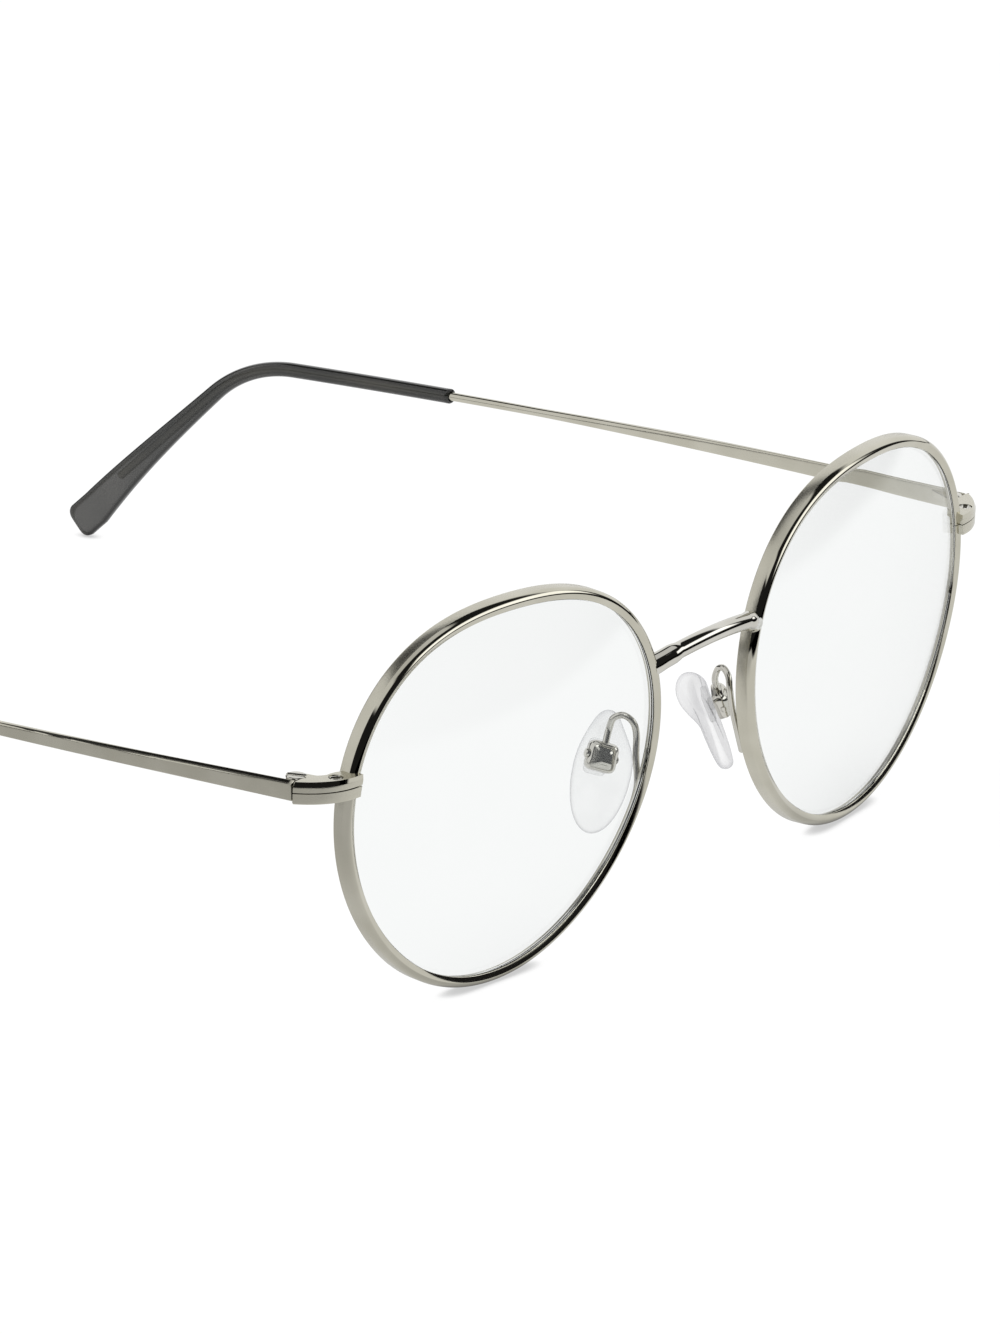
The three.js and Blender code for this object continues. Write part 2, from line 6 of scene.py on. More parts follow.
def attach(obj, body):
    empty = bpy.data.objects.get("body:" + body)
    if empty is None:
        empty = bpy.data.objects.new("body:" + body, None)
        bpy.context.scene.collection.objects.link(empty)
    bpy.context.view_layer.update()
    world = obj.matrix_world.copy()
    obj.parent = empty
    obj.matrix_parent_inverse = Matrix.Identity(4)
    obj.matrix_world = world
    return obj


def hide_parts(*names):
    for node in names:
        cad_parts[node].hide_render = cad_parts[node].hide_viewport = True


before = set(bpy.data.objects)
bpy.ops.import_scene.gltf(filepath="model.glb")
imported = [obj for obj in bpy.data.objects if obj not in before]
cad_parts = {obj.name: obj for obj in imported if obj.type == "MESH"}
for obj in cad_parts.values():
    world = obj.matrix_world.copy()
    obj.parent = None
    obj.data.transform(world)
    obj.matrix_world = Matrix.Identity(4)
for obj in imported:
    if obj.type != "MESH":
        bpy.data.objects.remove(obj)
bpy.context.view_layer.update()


# Rims: eyewire of satin nickel alloy, rolled with a polished front that rounds over from a crest to the
# outside and slopes in to the lens, and with a V groove inside. It is bent round the lens and left open
# by a saw cut that the end piece draws together.
lens_width, lens_height, lens_gap = 51.8, 46.0, 19.1
corner_lift, edge_lean, edge_square = 0.8, 0.11, 0.1
wrap = np.radians(6.3)
lens_centre = lens_gap / 2 + lens_width / 2 * np.cos(wrap)
rim_wall, rim_lip, rim_depth = 0.62, 0.8, 2.2
inner_tilt, crest_radius, brow_tilt, brow_radius = np.radians(20), 0.2, np.radians(80), 1.0
groove_back, groove_half, groove_apex = rim_depth / 2, 0.42, 0.1
block_level, saw_cut = 6.4, 0.1
front_lean = 0.03548783
front_place = (0.0, -69.12434, 24.27471)


def turned(axis, angle):
    """Matrix of a right-handed turn by an angle about X, Y or Z."""
    c, s = np.cos(angle), np.sin(angle)
    return np.array({
        "x": ((1, 0, 0), (0, c, -s), (0, s, c)),
        "y": ((c, 0, s), (0, 1, 0), (-s, 0, c)),
        "z": ((c, -s, 0), (s, c, 0), (0, 0, 1)),
    }[axis])


def standing(points):
    """Points of the upright front, in mm, leaned about X, set down on the table and given in metres."""
    return (points @ turned("x", front_lean).T + front_place) / 1000


def lens_edge(angle):
    """Radius of the lens outline by its angle from the temple side: an oval of the lens's width and
    height, with a three-lobed term that raises the upper corners and slight lean and squareness."""
    oval = (lens_width + lens_height) / 4 + (lens_width - lens_height) / 4 * np.cos(2 * angle)
    lobes = corner_lift * np.sin(3 * angle) - edge_lean * np.cos(3 * angle)
    return oval + lobes - edge_square * np.cos(4 * angle)


def lens_plane(radius, angle, back):
    """Point at a radius and angle in the wrapped plane of the left lens, so far behind the rim's front."""
    across = radius * np.cos(angle)
    x = lens_centre + across * np.cos(wrap) - back * np.sin(wrap)
    y = across * np.sin(wrap) + back * np.cos(wrap)
    return np.stack(np.broadcast_arrays(x, y, radius * np.sin(angle)), -1)


def edge_angle(level, nose=False):
    """Angle at which the lens outline passes a level, by repeated arcsine of level over radius."""
    angle = np.zeros_like(level, dtype=float) + (np.pi if nose else 0)
    for _ in range(8):
        rise = np.arcsin(np.clip(level / lens_edge(angle), -1, 1))
        angle = np.pi - rise if nose else rise
    return angle


def rounded(corners, radii, steps=6):
    """Closed outline with each corner c swept by c + (1-t)^2 a + t^2 b, where a and b reach along its
    two sides by the corner's radius."""
    c = np.array(corners, float)
    r = np.broadcast_to(np.array(radii, float), len(c))[:, None]
    before, after = np.roll(c, 1, 0) - c, np.roll(c, -1, 0) - c
    a = before / np.linalg.norm(before, axis=1, keepdims=True) * r
    b = after / np.linalg.norm(after, axis=1, keepdims=True) * r
    t = np.linspace(0, 1, steps)[None, :, None]
    return (c[:, None] + (1 - t) ** 2 * a[:, None] + t ** 2 * b[:, None]).reshape(-1, 2)


def shell_faces(rows, columns, looped, lid):
    """Four-sided faces of a grid whose columns close round. Its rows close round as well when looped;
    otherwise the first and the last row are each closed by one flat face. A lid, given as a row and two
    columns, is flat between its row and the next, in two faces that meet at column 0 and at those two."""
    row = np.arange(rows if looped else rows - 1)[:, None]
    column = np.arange(columns)[None]
    beside, below = (column + 1) % columns, (row + 1) % rows
    here, next_row = row * columns, below * columns
    corners = (here + column, here + beside, next_row + beside, next_row + column)
    quads = np.stack(np.broadcast_arrays(*corners), -1).reshape(-1, 4)
    caps = [] if looped else [np.arange(columns)[::-1], np.arange(columns) + (rows - 1) * columns]
    if lid:
        quads = np.delete(quads, np.arange(columns) + lid[0] * columns, 0)
        outer, inner = np.arange(columns + 1) % columns + lid[0] * columns, np.arange(columns + 1) % columns
        inner = inner + (lid[0] + 1) * columns
        caps.append(np.concatenate((outer[:lid[1] + 1], inner[lid[2]::-1])))
        caps.append(np.concatenate((outer[lid[1]:], inner[:lid[2] - 1:-1])))
    return quads, caps


def made(name, shells, finish, side=1, crease=38):
    """Object from closed shells, each a grid of points with a polish value for each point. Side -1 gives
    the mirror image. Each shell is turned outwards by the sign of its volume, the sum of a . (b x c)."""
    points, polish, faces, start = [], [], [], 0
    for grid, shine, looped, *lid in shells:
        rows, columns = grid.shape[:2]
        spots = standing(grid.reshape(-1, 3) * (side, 1, 1))
        quads, caps = shell_faces(rows, columns, looped, lid)
        a, b, c, d = (spots[quads[:, k]] - spots.mean(0) for k in range(4))
        volume = np.sum(a * np.cross(b, c)) + np.sum(a * np.cross(c, d))
        turn = 1 if volume > 0 else -1
        faces += (quads[:, ::turn] + start).tolist() + [(cap[::turn] + start).tolist() for cap in caps]
        points.append(spots)
        polish.append(np.broadcast_to(shine, (rows, columns)).ravel())
        start += rows * columns
    mesh = bpy.data.meshes.new(name)
    mesh.from_pydata(np.concatenate(points).tolist(), [], faces)
    mesh.attributes.new("polish", "FLOAT", "POINT").data.foreach_set("value", np.concatenate(polish))
    mesh.shade_smooth()
    mesh.set_sharp_from_angle(angle=np.radians(crease))
    mesh.materials.append(finish)
    piece = bpy.data.objects.new(name, mesh)
    bpy.context.scene.collection.objects.link(piece)
    return piece


def fit(piece, node, body):
    """The piece stands for a CAD node, which is hidden, and moves with its body."""
    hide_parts(node)
    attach(piece, body)


def fit_pair(node, shells, finish, body, crease=38):
    """The wearer's left piece, and its mirror image on the right."""
    for side, sign in (("left", 1), ("right", -1)):
        piece = made(f"{node}_{side}", shells, finish, sign, crease)
        fit(piece, f"{side}_{node}", body.format(side=side))


class Tone:
    """A value that comes out of a node. Arithmetic on tones and numbers adds Math nodes."""

    def __init__(self, tree, socket=None):
        self.tree, self.socket = tree, socket

    def node(self, kind, settings=(), values=(), output=0):
        """Any other node, by its type, its settings and the values or links of its sockets."""
        new = self.tree.nodes.new("ShaderNode" + kind)
        for key, setting in dict(settings).items():
            setattr(new, key, setting)
        for key, value in dict(values).items():
            if isinstance(value, Tone):
                self.tree.links.new(value.socket, new.inputs[key])
            else:
                new.inputs[key].default_value = value
        return Tone(self.tree, new.outputs[output])

    def math(self, operation, first, second=0.0):
        return self.node("Math", {"operation": operation}, {0: first, 1: second})

    def __add__(self, other):
        return self.math("ADD", self, other)

    def __radd__(self, other):
        return self.math("ADD", other, self)

    def __sub__(self, other):
        return self.math("SUBTRACT", self, other)

    def __rsub__(self, other):
        return self.math("SUBTRACT", other, self)

    def __mul__(self, other):
        return self.math("MULTIPLY", self, other)

    def __rmul__(self, other):
        return self.math("MULTIPLY", other, self)

    def clear(self, low, high):
        """0 below low, 1 above high and a smooth step between."""
        return self.node("MapRange", {"interpolation_type": "SMOOTHSTEP"}, {0: self, 1: low, 2: high})

    def blend(self, first, second):
        """Colour between two, by this tone."""
        return self.node("Mix", {"data_type": "RGBA"}, {0: self, 6: first, 7: second}, 2)


def finish_named(name):
    """New material, its shader, and the tones of its place on the object and of its polish."""
    material = bpy.data.materials.new(name)
    material.use_nodes = True
    tree = material.node_tree
    shader = tree.nodes["Principled BSDF"]
    blank = Tone(tree)
    place = blank.node("TexCoord", output=3)
    polish = blank.node("Attribute", {"attribute_name": "polish"}, output=2)
    return material, shader, place, polish


def noise(place, size, detail=2.0):
    """Cloudy noise whose lumps are so many millimetres wide."""
    return place.node("TexNoise", values={"Vector": place, "Scale": 1000 / size, "Detail": detail})


def feed(shader, **tones):
    """Tones and plain values into the shader's sockets, with _ for a space."""
    for key, value in tones.items():
        socket = shader.inputs[key.replace("_", " ")]
        if isinstance(value, Tone):
            value.tree.links.new(value.socket, socket)
        else:
            socket.default_value = value


def metal(name, dark, light, satin_roughness, polished_roughness, grain):
    """Metal that is satin where its polish is 0 and bright where it is 1, with a fine grain, a faint
    cloudiness in colour, and hairlines that only roughen it."""
    material, shader, place, polish = finish_named(name)
    cloud = noise(place, 6).clear(0.3, 0.7)
    fine = noise(place, 0.18, 3)
    hairs = noise(place.node("Mapping", values={"Vector": place, "Scale": (8, 0.35, 8)}), 0.8, 4)
    satin = satin_roughness + 0.12 * (fine - 0.5) + 0.08 * (hairs - 0.5)
    bright = polished_roughness + 0.05 * (hairs - 0.45)
    roughness = satin + polish * (bright - satin)
    bump = fine.node("Bump", values={"Strength": grain, "Distance": 0.00002, "Height": fine * (1 - polish)})
    feed(shader, Base_Color=cloud.blend(dark, light), Metallic=1.0, Roughness=roughness, Normal=bump)
    return material


nickel = metal("satin_nickel", (0.56, 0.54, 0.455, 1), (0.62, 0.60, 0.515, 1), 0.23, 0.06, 0.2)

crest_turn = np.linspace(-inner_tilt, inner_tilt, 6)
brow_turn = np.linspace(inner_tilt, brow_tilt, 14)[1:]
brow_width = brow_radius * (np.sin(brow_tilt) - np.sin(inner_tilt))
brow_depth = brow_radius * (np.cos(inner_tilt) - np.cos(brow_tilt))
crest_mid = rim_wall - brow_width - crest_radius * np.sin(inner_tilt)
crest_line = np.stack((
    crest_mid + crest_radius * np.sin(crest_turn), crest_radius * (np.cos(inner_tilt) - np.cos(crest_turn)),
), -1)
brow_line = np.stack((
    rim_wall - brow_radius * (np.sin(brow_tilt) - np.sin(brow_turn)),
    brow_radius * (np.cos(inner_tilt) - np.cos(brow_turn)),
), -1)
inner_slope = (crest_line[0, 0] + rim_lip) * np.tan(inner_tilt)
rim_corners = (
    (rim_wall, brow_depth), (rim_wall, rim_depth), (-rim_lip, rim_depth),
    (-rim_lip, groove_back + groove_half), (groove_apex, groove_back),
    (-rim_lip, groove_back - groove_half), (-rim_lip, inner_slope), crest_line[0],
)
rim_rounds, round_steps = (0, 0.16, 0.16, 0.05, 0.05, 0.05, 0.06, 0), 6
rim_back = rounded(rim_corners, rim_rounds, round_steps)[round_steps:-round_steps]
rim_section = np.concatenate((crest_line, brow_line, rim_back))
rim_polish = np.where(rim_section[:, 1] < brow_depth - 0.01, 1.0, 0.0)
cut_angle = edge_angle(np.array(block_level))
half_cut = saw_cut / 2 / lens_edge(cut_angle) / np.cos(cut_angle)
round_rim = np.linspace(cut_angle + half_cut, cut_angle + 2 * np.pi - half_cut, 400)[:, None]
rim_grid = lens_plane(lens_edge(round_rim) + rim_section[:, 0], round_rim, rim_section[:, 1])
fit_pair("rim", [(rim_grid, rim_polish, False)], nickel, "front")


# Lenses: clear resin domes of even thickness, edged to a V that snaps into the groove, with a hard
# anti-reflection coat that leaves only a faint cool cast.
lens_thickness, lens_rise = 1.4, 2.6
lens_inner = 0.88
dome = np.linspace(0.02, 1, 28)


def lens_rows(back, shares):
    """Rows of one lens face: rings at shares of the edge radius, raised by the rise times 1 - share^2."""
    share = shares[:, None]
    return lens_plane(share * (lens_edge(around) - lens_inner), around, back - lens_rise * (1 - share ** 2))


def lens_resin():
    """Clear resin that bends the view, with hardly any mirroring because of its coat, and fine smears
    that tint and dull it a little."""
    material, shader, place, _ = finish_named("clear_lens")
    smear = noise(place, 9, 3)
    feed(
        shader, Base_Color=smear.blend((0.889, 0.903, 0.898, 1), (0.903, 0.915, 0.911, 1)),
        Roughness=0.004 + 0.03 * smear.clear(0.55, 0.8), IOR=1.5, Transmission_Weight=1.0,
        Specular_IOR_Level=0.12, Specular_Tint=(0.12, 0.14, 0.13, 1),
    )
    return material


around = np.linspace(0, 2 * np.pi, 240, endpoint=False)[None]
lens_grid = np.concatenate((
    lens_rows(groove_back - lens_thickness / 2, dome),
    lens_plane(lens_edge(around) - lens_inner, around, groove_back - groove_half),
    lens_plane(lens_edge(around), around, groove_back),
    lens_plane(lens_edge(around) - lens_inner, around, groove_back + groove_half),
    lens_rows(groove_back + lens_thickness / 2, dome[::-1]),
))
fit_pair("lens", [(lens_grid, 1.0, False)], lens_resin(), "front", 30)


# Bridge: one piece of round wire with straight swelling legs, a set above each and a shallow arch
# between them, polished and then silver-soldered to the inner sides of the two rims.
bridge_height, bridge_setback = 8.05, 1.15
knee_inset, knee_rise, knee_forward = 2.85, 1.35, 1.35
arch_rise, arch_forward = 0.6, 0.45
arch_radius, leg_radius, solder_swell = 1.0, 1.2, 0.06
solder_sink = 0.12
swell_before, swell_after = 0.9, 0.5
solder_from, solder_to = 1.6, 0.5
blur_steps = 8

steel = metal("polished_steel", (0.61, 0.595, 0.54, 1), (0.69, 0.675, 0.62, 1), 0.25, 0.05, 0.1)


def rim_side(y, z, sink, nose=False):
    """X of the rim's outside, sunk in by so much, at a depth and level: the wall, and in front of it the
    brow, taken as a slope from the wall to the crest."""
    angle = edge_angle(z, nose)
    back = (y - lens_edge(angle) * np.cos(angle) * np.sin(wrap)) / np.cos(wrap)
    outward = np.interp(back, (0, brow_depth), (crest_mid, rim_wall)) - sink
    return lens_centre + (lens_edge(angle) + outward) * np.cos(angle) * np.cos(wrap) - back * np.sin(wrap)


def smooth(low, high, value):
    """Smooth step from 0 at low to 1 at high."""
    t = np.clip((value - low) / (high - low), 0, 1)
    return t * t * (3 - 2 * t)


def unit(vectors):
    """Vectors brought to length 1."""
    return vectors / np.linalg.norm(vectors, axis=-1, keepdims=True)


bridge_angle = edge_angle(bridge_height, True)
bridge_end = lens_plane(lens_edge(bridge_angle), bridge_angle, bridge_setback)
knee_x = bridge_end[0] - knee_inset
along = np.linspace(-1, 1, 241)
path_x = along * bridge_end[0]
leg = np.clip((np.abs(path_x) - knee_x) / knee_inset, 0, 1)
arch = np.clip(1 - (path_x / knee_x) ** 2, 0, 1)
weights = np.exp(-np.linspace(-2, 2, 2 * blur_steps + 1) ** 2)
path_y, path_z = (
    np.convolve(np.pad(values, blur_steps, "reflect", reflect_type="odd"), weights / weights.sum(), "valid")
    for values in (
        bridge_end[1] - knee_forward * (1 - leg) - arch_forward * arch,
        bridge_height + knee_rise * (1 - leg) + arch_rise * arch,
    )
)
bridge_path = np.stack((path_x, path_y, path_z), -1)
ahead = unit(np.gradient(bridge_path, axis=0))
upward = unit(np.cross(ahead, (0, 1, 0)))
backward = np.cross(ahead, upward)
reach = np.abs(path_x)
leg_share = smooth(knee_x - swell_before, knee_x + swell_after, reach)
solder_share = smooth(bridge_end[0] - solder_from, bridge_end[0] - solder_to, reach)
bridge_radius = arch_radius + (leg_radius - arch_radius) * leg_share + solder_swell * solder_share
spin = np.linspace(0, 2 * np.pi, 40, endpoint=False)
bridge_grid = bridge_path[:, None] + bridge_radius[:, None, None] * (
    np.cos(spin)[:, None] * upward[:, None] + np.sin(spin)[:, None] * backward[:, None]
)
wall_x = rim_side(bridge_grid[..., 1], bridge_grid[..., 2], solder_sink, True)
bridge_grid[..., 0] = np.clip(bridge_grid[..., 0], -wall_x, wall_x)
fit(made("bridge_wire", [(bridge_grid, 1.0, False)], steel, crease=60), "bridge", "front")


# End pieces: a milled block of nickel alloy sawn into an upper and a lower half, soldered to the two
# ends of the rim, with the outer hinge knuckles at its back and a polished bevel along its top.
block_height, hinge_reach, block_width, block_front = 2.64, 4.35, 2.1, 0.7
block_waist, hinge_setback = 1.45, 4.6
knuckle_radius, knuckle_height, knuckle_clear, barrel_clear = 1.2, 0.9, 0.1, 0.15
lock_reach, lock_setback, sink_radius, sink_depth = 1.85, 0.22, 0.86, 0.32
rim_bite, rim_overlap, end_round = 0.5, 1.1, 0.1
bevel_least, bevel_most, bevel_start = 0.12, 0.8, 0.8
rim_mid = lens_plane(lens_edge(cut_angle) + rim_wall, cut_angle, rim_depth / 2)
rim_front_y = lens_plane(lens_edge(cut_angle) + rim_wall, cut_angle, 0.0)[1]
rim_back_y = lens_plane(lens_edge(cut_angle) + rim_wall, cut_angle, rim_depth)[1]
hinge_x, hinge_y = rim_mid[0] + hinge_reach, rim_front_y + hinge_setback
outer_x, end_face_y = hinge_x + block_width, hinge_y - knuckle_radius + barrel_clear
block_front_y = rim_front_y - block_front
lock_x, lock_y = rim_mid[0] + lock_reach, (block_front_y + rim_back_y) / 2 + lock_setback
block_top, block_foot = block_level + block_height / 2, block_level - block_height / 2


def bow(first, control, last, steps=24):
    """Quadratic curve from the first point to the last, drawn towards the control point."""
    t = np.linspace(0, 1, steps)[:, None]
    return (1 - t) ** 2 * np.array(first) + 2 * t * (1 - t) * np.array(control) + t ** 2 * np.array(last)


def arc(centre, radius, first, last, steps=40):
    """Points of a circle's arc between two angles."""
    angle = np.linspace(first, last, steps)
    return np.array(centre) + radius * np.stack((np.cos(angle), np.sin(angle)), -1)


def evened(outline, count):
    """Closed outline set out again with evenly spaced points."""
    closed = np.concatenate((outline, outline[:1]))
    length = np.concatenate(([0], np.cumsum(np.linalg.norm(np.diff(closed, axis=0), axis=1))))
    spots = np.linspace(0, length[-1], count, endpoint=False)
    return np.stack([np.interp(spots, length, closed[:, k]) for k in range(2)], -1)


def slab(plan, levels, share=1.0):
    """Plan carried up through levels, each given as a height and an inset from the plan's edge along
    its inward normal, which turns the edges into bevels. Share scales the inset for each plan point."""
    ahead = np.roll(plan, -1, 0) - np.roll(plan, 1, 0)
    area = np.sum(plan[:, 0] * np.roll(plan[:, 1], -1) - plan[:, 1] * np.roll(plan[:, 0], -1))
    inward = unit(np.stack((-ahead[:, 1], ahead[:, 0]), -1)) * np.sign(area)
    height, inset = np.array(levels, float).T
    flat = plan[None] + inset[:, None, None] * (np.broadcast_to(share, len(plan))[:, None] * inward)[None]
    return np.concatenate((flat, np.broadcast_to(height[:, None, None], flat.shape[:2] + (1,))), -1)


def against_rim(grid):
    """Block points kept from reaching further than the bite into the rim."""
    x = np.maximum(grid[..., 0], rim_side(grid[..., 1], grid[..., 2], rim_bite))
    return np.concatenate((x[..., None], grid[..., 1:]), -1)


def sunk(edge):
    """Rows of a round sinking for the closing screw inside a top edge, and the columns of the edge and
    of the circle that face the hinge, where the flat lid between them is divided."""
    corner = edge[0, :2] - (lock_x, lock_y)
    sense = np.sign(np.sum(edge[:, 0] * np.roll(edge[:, 1], -1) - edge[:, 1] * np.roll(edge[:, 0], -1)))
    angle = np.arctan2(corner[1], corner[0]) + sense * np.linspace(0, 2 * np.pi, len(edge), endpoint=False)
    round_x, round_y = lock_x + sink_radius * np.cos(angle), lock_y + sink_radius * np.sin(angle)
    rim = np.stack((round_x, round_y, edge[:, 2]), -1)
    to_hinge = unit(np.array((hinge_x - lock_x, hinge_y - lock_y)))
    far = np.argmin(np.linalg.norm(edge[:, :2] - (hinge_x, hinge_y) - knuckle_radius * to_hinge, axis=1))
    near = np.argmax((rim[:, :2] - (lock_x, lock_y)) @ to_hinge)
    return np.stack((rim, rim - (0, 0, sink_depth))), int(far), int(near)


seam = np.arcsin((end_face_y - hinge_y) / knuckle_radius)
rim_root = (rim_mid[0] - 0.6, rim_back_y - 0.8)
outer_edge = bow(
    (rim_mid[0] - rim_overlap, block_front_y), (hinge_x - 0.5, block_front_y),
    (outer_x, end_face_y - end_round), 40,
)
inner_edge = np.concatenate((
    bow(
        (hinge_x - block_waist, hinge_y - knuckle_radius - 0.45),
        (hinge_x - block_waist - 0.3, hinge_y - knuckle_radius - barrel_clear - 0.75), (lock_x, rim_back_y),
    ),
    bow((lock_x, rim_back_y), (rim_mid[0] + rim_wall, rim_back_y), rim_root),
))
barrel = arc((hinge_x, hinge_y), knuckle_radius, seam, np.pi + 0.35)
end_corner = ((outer_x - end_round, end_face_y),)
block_plan = evened(np.concatenate((outer_edge, end_corner, barrel, inner_edge)), 260)
waist = arc((hinge_x, hinge_y), knuckle_radius + barrel_clear, seam - 0.1, seam - 2.0)
waist_plan = evened(np.concatenate((outer_edge, end_corner, waist, inner_edge[6:])), 260)
relief = knuckle_height / 2 + knuckle_clear
half_cut_z = saw_cut / 2
beside_outer = np.min(np.linalg.norm(block_plan[:, None] - outer_edge[None], axis=-1), axis=1)
along_block = smooth(rim_mid[0] + bevel_start, hinge_x, block_plan[:, 0])
bevel_share = bevel_least + (bevel_most - bevel_least) * along_block
bevel_share = bevel_share * (1 - 0.85 * smooth(0.05, 0.5, beside_outer))
half_block = block_height / 2
web = np.array(((half_cut_z, 0.04), (half_cut_z + 0.03, 0), (relief, 0)))
top_bevel = np.array((
    (relief, 0), (half_block - 0.56, 0), (half_block - 0.5, 0.03), (half_block, 0.33), (half_block, 0.36),
))
foot_bevel = np.array((
    (relief, 0), (half_block - 0.2, 0), (half_block - 0.15, 0.02), (half_block - 0.03, 0.1),
    (half_block, 0.15),
))
for name, sign, bevel in (("endpiece_upper", 1, top_bevel), ("endpiece_lower", -1, foot_bevel)):
    level = (block_level, 0)
    outer = against_rim(slab(block_plan, level + bevel * (sign, 1), bevel_share))
    shine = np.array((0, 0, 1, 1, 0))[:, None] * (beside_outer < 0.3)
    whole = (outer, shine, False)
    if sign == 1:
        sinking, far, near = sunk(outer[-1])
        rows, polish = np.concatenate((outer, sinking)), np.pad(shine, ((0, 2), (0, 0)))
        whole = (rows, polish, False, len(bevel) - 1, far, near)
    middle = (against_rim(slab(waist_plan, level + web * (sign, 1))), 0.0, False)
    fit_pair(name, [whole, middle], nickel, "front", 30)


# Closing screws and hinge screws: turned steel screws with slotted flat heads. The closing screw is
# sunk in the block and draws its halves together; the hinge screw lies low on the upper knuckle.
head_radius, head_height, shank_radius = 0.8, 0.26, 0.5
hinge_head_radius = 1.24
slot_half, slot_depth = 0.2, 0.23
lock_seat, hinge_seat = block_top - head_height - 0.02, block_top - 0.2
lock_turn, hinge_turn = 0.5, 1.1


def slotted_screw(x, y, seat, radius, slot_turn):
    """Two D-shaped lands with rounded edges over a disc, a slot between them, on a round shank."""
    floor, top = seat + head_height - slot_depth, seat + head_height
    lip = np.arcsin(slot_half / radius)
    land = evened(arc((0, 0), radius, lip, np.pi - lip), 72)
    land_levels = ((floor, 0), (top - 0.14, 0), (top - 0.06, 0.05), (top - 0.02, 0.14), (top, 0.26))
    disc_levels = ((seat + 0.01, 0.02), (seat + 0.04, 0), (floor, 0))
    shank_levels = ((block_foot + 0.05, 0.1), (block_foot + 0.15, 0), (seat + 0.02, 0))
    shells = []
    for way in (0, np.pi):
        plan = land @ turned("z", slot_turn + way)[:2, :2].T + (x, y)
        shells.append((slab(plan, land_levels), 1.0, False))
    disc = arc((x, y), radius, 0, 2 * np.pi, 73)[:-1]
    shells.append((slab(disc, disc_levels), 1.0, False))
    shank = arc((x, y), shank_radius, 0, 2 * np.pi, 33)[:-1]
    shells.append((slab(shank, shank_levels), 1.0, False))
    return shells


lock_screw = slotted_screw(lock_x, lock_y, lock_seat, head_radius, lock_turn)
hinge_pin = slotted_screw(hinge_x, hinge_y, hinge_seat, hinge_head_radius, hinge_turn)
fit_pair("rim_lock_screw", lock_screw, steel, "front", 30)
fit_pair("hinge_screw", hinge_pin, steel, "front", 30)


# Temples: flat nickel blades, straight behind the hinge, drawn down to round wire that bends behind
# the ear and runs on as a core inside the tip. The broad sides are satin, the edges polished.
blade_height, blade_thickness, edge_cut, blade_gap = 2.5, 0.85, 0.3, 0.13
blade_square, wire_square = 7, 2
taper_start, taper_end = 12.0, 65.0
wire_diameter, temple_length, core_stop = 1.1, 145.0, 10.0
bend_start, bend_radius, bend_angle = 102.3, 17.5, np.radians(42.5)
splay, slope, bow_radius = np.radians(3.3), np.radians(3.8), 525.0
blade_x = hinge_x + knuckle_radius + barrel_clear + blade_thickness / 2
section_turn = np.linspace(0, 2 * np.pi, 48, endpoint=False)[None]


def temple_place(length):
    """Centre, upward and sideward directions of the temple line: straight down a slope, round the ear
    bend as an arc, straight on, and bowed in plan by a parabola behind the first stretch."""
    bent = np.clip((length - bend_start) / bend_radius, 0, bend_angle)
    after = np.maximum(length - bend_start - bend_radius * bend_angle, 0)
    forth = np.minimum(length, bend_start) + bend_radius * np.sin(bent) + after * np.cos(bend_angle)
    drop = bend_radius * (1 - np.cos(bent)) + after * np.sin(bend_angle)
    run = forth * np.cos(slope) - drop * np.sin(slope)
    fall = forth * np.sin(slope) + drop * np.cos(slope)
    x = blade_x + run * np.tan(splay) - np.maximum(run - taper_start, 0) ** 2 / (2 * bow_radius)
    centre = np.stack((x, hinge_y + run, block_level - fall), -1)
    rise = np.stack((0 * bent, np.sin(slope + bent), np.cos(slope + bent)), -1)
    return centre, rise, np.array((np.cos(splay), -np.sin(splay), 0))


def squarish(half_wide, half_high, square):
    """Superellipse for each row: cosine and sine raised to 2 / square, from 2, round, upwards."""
    power = 2 / np.asarray(square, float)[:, None]
    c, s = np.cos(section_turn), np.sin(section_turn)
    wide = np.asarray(half_wide)[:, None] * np.sign(c) * np.abs(c) ** power
    return wide, np.asarray(half_high)[:, None] * np.sign(s) * np.abs(s) ** power


def along_temple(length, half_wide, half_high, square, lowered=0.0, chamfer=0.0):
    """Superellipse sections carried along the temple line, set below it by lowered, with the outer edges
    cut back over the chamfer's height, by twice as much as that."""
    centre, rise, sideward = temple_place(length)
    wide, high = squarish(half_wide, half_high, square)
    over = np.abs(high) - np.asarray(half_high)[:, None] + np.broadcast_to(chamfer, length.shape)[:, None]
    wide = np.minimum(wide, np.asarray(half_wide)[:, None] - 2 * np.maximum(over, 0))
    high = high - np.broadcast_to(lowered, length.shape)[:, None]
    return centre[:, None] + wide[..., None] * sideward + high[..., None] * rise[:, None]


blade_start = end_face_y + blade_gap - hinge_y
temple_run = np.concatenate((
    (blade_start, blade_start + 0.04, blade_start + 0.1), np.linspace(blade_start + 1, bend_start, 120),
    np.linspace(bend_start, temple_length - core_stop, 60)[1:],
))
drawn = smooth(taper_start, taper_end, temple_run)
narrowed = np.clip(temple_run / taper_end, 0, 1)
eased = np.interp(temple_run, (blade_start, blade_start + 0.04, blade_start + 0.1), (0.86, 0.96, 1.0))
temple_grid = along_temple(
    temple_run,
    eased * (blade_thickness + (wire_diameter - blade_thickness) * drawn) / 2,
    (blade_height + (wire_diameter - blade_height) * narrowed) / 2 - (1 - eased) * blade_thickness / 2,
    blade_square + (wire_square - blade_square) * drawn, chamfer=edge_cut * (1 - drawn),
)
edge_polish = np.abs(np.sin(section_turn)) > 0.6
temple_polish = np.maximum(edge_polish, drawn[:, None])
fit_pair("temple", [(temple_grid, temple_polish, False)], nickel, "{side}_temple", 30)


# Hinge leaves: the middle knuckle with its tongue, a small nickel milling soldered to the inside of
# the blade, free to turn between the block's knuckles.
leaf_length = 4.6


